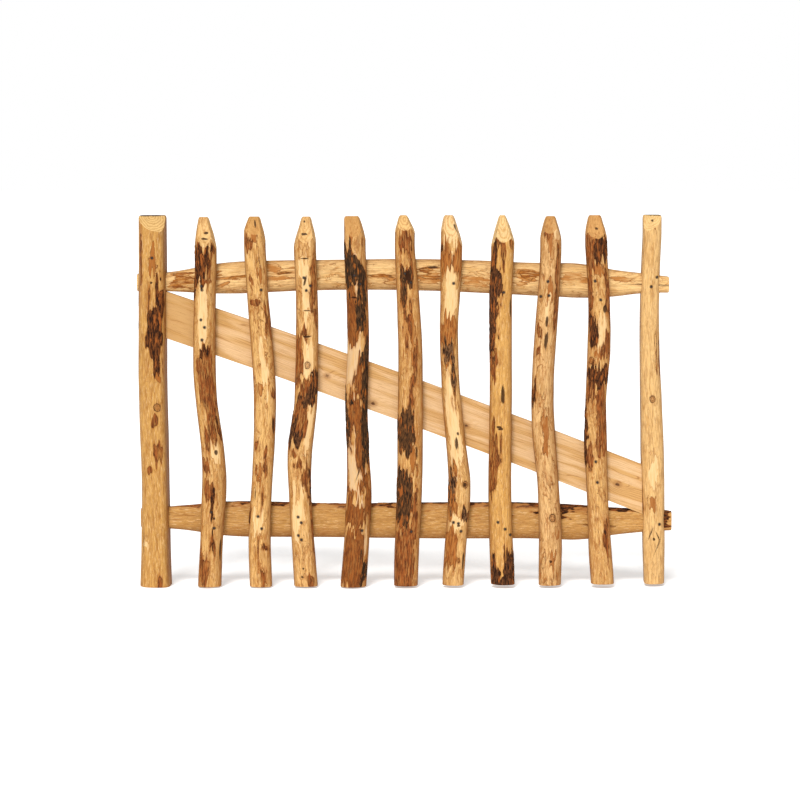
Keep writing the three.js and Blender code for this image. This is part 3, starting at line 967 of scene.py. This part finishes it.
def driveNails(bm, piece, spine, spec):
    tree = BVHTree.FromPolygons(
        [v.co for v in piece.data.vertices], [tuple(f.vertices) for f in piece.data.polygons]
    )
    for k, (height, sideways) in enumerate(spec.get("nails", ())):
        z = foot + height * mm
        x = np.interp(z, spine.heights, spine.centres[:, 0]) + sideways * mm
        start = Vector((x, seam - nailLook["aimFrom"], z))
        hit, normal = tree.ray_cast(start, Vector((0, 1, 0)))[:2]
        tilt = radians(nailLook["tilt"]) * noise.noise_vector(Vector((height, sideways, k)))
        aim = (normal + tilt).normalized()
        place = Matrix.Translation(hit + aim * (nailLook["proud"] - nailLook["height"] / 2) * mm)
        place = place @ aim.to_track_quat("Z", "Y").to_matrix().to_4x4()
        radius = nailLook["radius"] * mm
        head = bmesh.ops.create_cone(
            bm, cap_ends=True, segments=nailLook["sides"], radius1=radius * nailLook["underside"],
            radius2=radius, depth=nailLook["height"] * mm, matrix=place,
        )["verts"]
        upper = {v for v in head if (place.inverted() @ v.co).z > 0}
        rim = [e for e in bm.edges if e.verts[0] in upper and e.verts[1] in upper]
        bmesh.ops.bevel(bm, geom=rim, offset=nailLook["softEdge"] * mm, segments=2, profile=0.5,
                        affect="EDGES", material=-1)


def steelFinish():
    f = Finish("nail_finish")
    where = f.node("TexCoord", {}).outputs["Object"]
    patchy = f.grain(where, 0.0012, 0.0012, 4, 0.6)
    f.send("Base Color", f.mix(f.step(patchy, 0.42, 0.6), nailLook["steel"], nailLook["rust"]))
    f.send("Metallic", f.step(patchy, 0.6, 0.42, 0.3))
    f.shader.inputs["Roughness"].default_value = 0.5
    f.relief(patchy, 0.3, 0.2 * mm)
    return f.material


noise.seed_set(nailLook["seed"])
nailMesh = bmesh.new()
for node, spec in poles.items():
    piece, spine = makePole(node, spec)
    if "mortises" in spec:
        cutMortises(piece, ["top_rail", "bottom_rail"])
    paintFields(piece, spine, spec)
    piece.data.materials.append(poleFinish(node + "_finish", spec["look"]))
    driveNails(nailMesh, piece, spine, spec)
    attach(piece, "root")
    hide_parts(node)
    print("pole", node, len(piece.data.polygons))

for v in nailMesh.verts:
    v.co.y = max(v.co.y, cadBox[0].y)
bmesh.ops.recalc_face_normals(nailMesh, faces=nailMesh.faces)
nails = bpy.data.objects.new("nails", bpy.data.meshes.new("nails"))
nailMesh.to_mesh(nails.data)
nailMesh.free()
nails.data.polygons.foreach_set("use_smooth", np.ones(len(nails.data.polygons), bool))
nails.data.set_sharp_from_angle(angle=radians(50))
nails.data.materials.append(steelFinish())
bpy.context.scene.collection.objects.link(nails)
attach(nails, "root")
print("nails driven")


# The brace: a sawn board with softened edges and a few small knots

braceLook = {
    "edge": 0.9,  # mm, worn off the long edges
    "spacing": 5.0,  # mm between rows of the mesh
    "sharp": 60,  # degrees, past which a long edge is worn
    "weld": 0.02,  # mm, under which points are merged
    "sliver": 1e-12,  # square metres, under which a face is left out
    "knots": [(-166, 454, 5), (-67, 395, 6), (134, 346, 5), (461, 219, 6)],
    "warmEnd": 150,  # mm at the left end, where heartwood shows
    "pale": tone(226, 186, 138),
    "warm": tone(208, 160, 98),
    "heart": tone(196, 148, 84),
    "line": tone(162, 108, 58),
    "dark": tone(96, 60, 32),
}


def makeBrace(look):
    bm = bmesh.new()
    bm.from_mesh(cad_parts["brace"].data)
    bmesh.ops.remove_doubles(bm, verts=bm.verts, dist=0.01 * mm)
    bmesh.ops.dissolve_limit(bm, angle_limit=radians(0.5), verts=bm.verts, edges=bm.edges)
    low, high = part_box("brace")
    rightTop = max(v.co.z for v in bm.verts if v.co.x > high.x - 12 * mm)
    run = Vector((high.x - low.x, 0, rightTop - high.z)).normalized()
    rise = Vector((-run.z, 0, run.x))

    def isArris(edge):
        way = (edge.verts[1].co - edge.verts[0].co).normalized()
        if abs(way.dot(run)) <= 0.97 or len(edge.link_faces) != 2 or edge.calc_length() <= 0.02:
            return False
        return edge.calc_face_angle() > radians(look["sharp"])

    arrises = [edge for edge in bm.edges if isArris(edge)]
    bmesh.ops.bevel(bm, geom=arrises, offset=look["edge"] * mm, segments=2, profile=0.5,
                    affect="EDGES", material=-1, clamp_overlap=True)
    start = Vector((low.x, 0, high.z))
    for way, reach in ((run, 1.25), (rise, 0.3)):
        count = int(reach / (look["spacing"] * mm))
        for i in range(-count, count):
            spot = start + way * i * look["spacing"] * mm
            bmesh.ops.bisect_plane(bm, geom=bm.verts[:] + bm.edges[:] + bm.faces[:], dist=1e-7,
                                   plane_co=spot, plane_no=way)

    # the worn edges meet at a point at the lower right end, where they leave a folded face
    bmesh.ops.remove_doubles(bm, verts=bm.verts, dist=look["weld"] * mm)
    bmesh.ops.dissolve_degenerate(bm, dist=look["weld"] * mm, edges=bm.edges)
    bmesh.ops.triangulate(bm, faces=bm.faces)
    slivers = [face for face in bm.faces if face.calc_area() < look["sliver"]]
    bmesh.ops.delete(bm, geom=slivers, context="FACES")
    bmesh.ops.recalc_face_normals(bm, faces=bm.faces)
    mesh = bpy.data.meshes.new("brace_board")
    bm.to_mesh(mesh)
    bm.free()
    points = np.array([v.co for v in mesh.vertices])
    grain = np.stack([points @ np.array(rise), points[:, 1], points @ np.array(run)], axis=1) / mm
    attribute = mesh.attributes.new("grain", "FLOAT_VECTOR", "POINT")
    attribute.data.foreach_set("vector", grain.ravel())
    knot = np.full(len(points), 9.0)
    for across, height, size in look["knots"]:
        spot = Vector((middle + across * mm, 0, foot + height * mm))
        lengthways = points @ np.array(run) - spot.dot(run)
        crossways = points @ np.array(rise) - spot.dot(rise)
        knot = np.minimum(knot, np.hypot(lengthways * 0.7, crossways) / (size * mm))
    leftEnd = points[:, 0].min()
    for name, values in (("knot", knot), ("along", (points[:, 0] - leftEnd) / mm)):
        attribute = mesh.attributes.new(name, "FLOAT", "POINT")
        attribute.data.foreach_set("value", values)
    board = bpy.data.objects.new("brace_board", mesh)
    bpy.context.scene.collection.objects.link(board)
    return board


def boardFinish(look):
    f = Finish("brace_finish")
    grain = f.read("grain", "Vector")
    knot = f.read("knot")
    bands = f.grain(grain, 14, 190, 3, 0.5, 0.4)
    colour = f.mix(f.step(bands, 0.4, 0.62), look["pale"], look["warm"])
    along = f.read("along")
    tongue = f.calc("ADD", along, f.calc("MULTIPLY", f.grain(grain, 32, 300, 2), 260))
    heartwood = f.step(tongue, look["warmEnd"] + 130, look["warmEnd"] + 105, 0.75)
    colour = f.mix(heartwood, colour, look["heart"])
    swell = f.calc("MULTIPLY", f.step(knot, 5.0, 0.6), 9.0)
    across = f.node("SeparateXYZ", {0: grain}).outputs[0]
    sway = f.calc("MULTIPLY", f.grain(grain, 30, 230, 2), 34.0)
    bent = f.calc("ADD", f.calc("ADD", across, sway), swell)
    years = f.calc("FRACT", f.calc("MULTIPLY", bent, 0.22))
    colour = f.mix(f.line(years, 0.5, 0.3, 0.35), colour, look["warm"])
    thin = f.calc("MULTIPLY", f.line(years, 0.6, 0.12, 0.75), f.step(bands, 0.46, 0.58))
    colour = f.mix(thin, colour, look["line"])
    fibres = f.grain(grain, 0.9, 45, 5, 0.65)
    colour = f.mix(f.step(fibres, 0.5, 0.68, 0.6), colour, look["line"])
    pores = f.grain(grain, 1.4, 8, 4, 0.65)
    colour = f.mix(f.step(pores, 0.54, 0.68, 0.5), colour, look["warm"])
    flecks = f.grain(grain, 1.4, 5, 3, 0.6)
    colour = f.mix(f.step(flecks, 0.64, 0.72, 0.6), colour, look["line"])
    colour = f.mix(f.step(knot, 1.8, 0.8, 0.55), colour, look["line"])
    colour = f.mix(f.step(knot, 0.8, 0.45), colour, look["dark"])
    f.send("Base Color", colour)
    f.shader.inputs["Roughness"].default_value = 0.68
    f.shader.inputs["Specular IOR Level"].default_value = 0.25
    f.relief(fibres, 0.35, 0.5 * mm)
    return f.material


brace = makeBrace(braceLook)
brace.data.materials.append(boardFinish(braceLook))
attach(brace, "root")
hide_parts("brace")
print("brace", len(brace.data.polygons))
